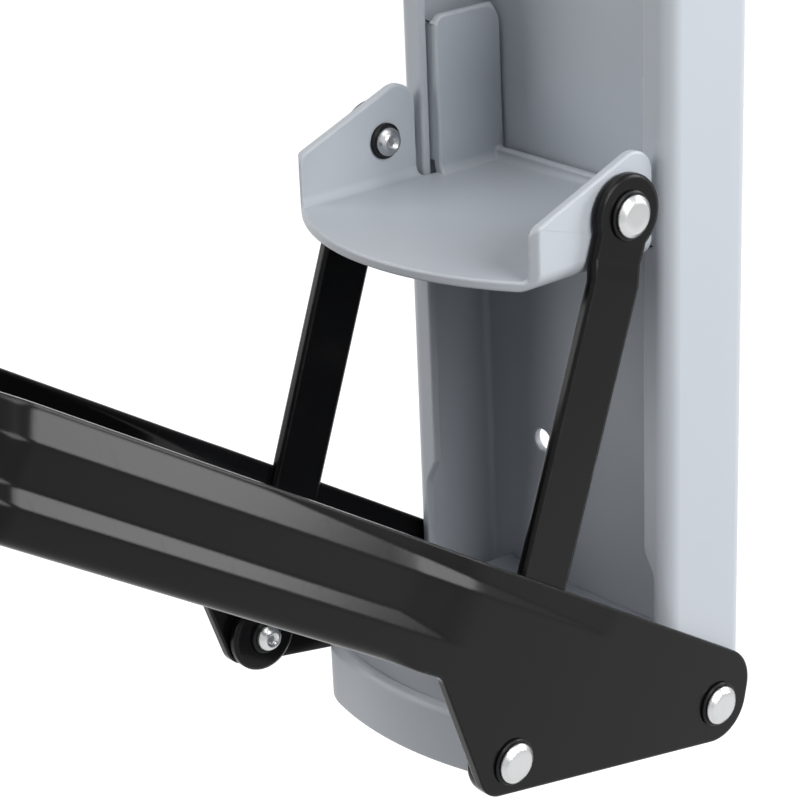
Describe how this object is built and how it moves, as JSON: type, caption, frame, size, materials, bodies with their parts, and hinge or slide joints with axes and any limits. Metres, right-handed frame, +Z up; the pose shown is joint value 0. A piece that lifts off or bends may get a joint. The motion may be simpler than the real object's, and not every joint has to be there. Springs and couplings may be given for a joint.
{
  "type": "can crusher",
  "caption": "Wall-mounted lever can crusher: a forked hand lever pulls a guided ram down on to a shelf through two side links.",
  "frame": {"origin": "centre of the four wall screw holes, on the back face of the channel", "axes": "+Z up along the wall, -Y out of the wall towards the user, +X to the right seen from the back of the lever (the side nearer to the camera in the picture)"},
  "size_m": [0.1098, 0.3521, 0.2305],
  "materials": {
    "frame_paint": "satin light grey powder coat",
    "black_paint": "satin black powder coat",
    "zinc": "bright zinc plate",
    "grip_rubber": "matt moulded rubber"
  },
  "bodies": {
    "frame": {"frame_channel": "frame_paint", "base_shelf": "frame_paint", "shelf_rivets": "zinc", "main_pin_left": "zinc", "main_pin_right": "zinc", "main_nut_left": "zinc", "main_nut_right": "zinc", "main_collar_left": "black_paint", "main_collar_right": "black_paint"},
    "ram": {"ram_plate": "frame_paint", "ram_pin_left": "zinc", "ram_pin_right": "zinc", "ram_nut_left": "zinc", "ram_nut_right": "zinc", "ram_collar_left": "black_paint", "ram_collar_right": "black_paint"},
    "left_link": {"link_left": "black_paint", "lever_nut_left": "zinc"},
    "right_link": {"link_right": "black_paint", "lever_nut_right": "zinc"},
    "lever": {"fork_left": "black_paint", "fork_right": "black_paint", "lever_pin_left": "zinc", "lever_pin_right": "zinc", "lever_collar_left": "black_paint", "lever_collar_right": "black_paint", "handle_trough": "black_paint", "handle_tang": "black_paint", "grip": "grip_rubber"}
  },
  "joints": [
    {"name": "lever_swing", "type": "hinge", "parent": "frame", "child": "lever", "pos_m": [0, -0.013, -0.1242], "axis": [1, 0, 0], "range_deg": [-10, 80]},
    {"name": "ram_slide", "type": "slide", "parent": "frame", "child": "ram", "axis": [0, 0, 1], "range_m": [-0.0785, 0.0102]},
    {"name": "left_link_swing", "type": "hinge", "parent": "ram", "child": "left_link", "pos_m": [0, -0.0402, 0.0147], "axis": [1, 0, 0], "range_deg": [-2.3, 17.1]},
    {"name": "right_link_swing", "type": "hinge", "parent": "ram", "child": "right_link", "pos_m": [0, -0.0402, 0.0147], "axis": [1, 0, 0], "range_deg": [-2.3, 17.1]}
  ],
  "couplings": [
    {"joint": "ram_slide", "follows": "lever_swing", "m_per_rad": -0.05592},
    {"joint": "left_link_swing", "follows": "lever_swing", "ratio": 0.2115},
    {"joint": "right_link_swing", "follows": "lever_swing", "ratio": 0.2115}
  ]
}
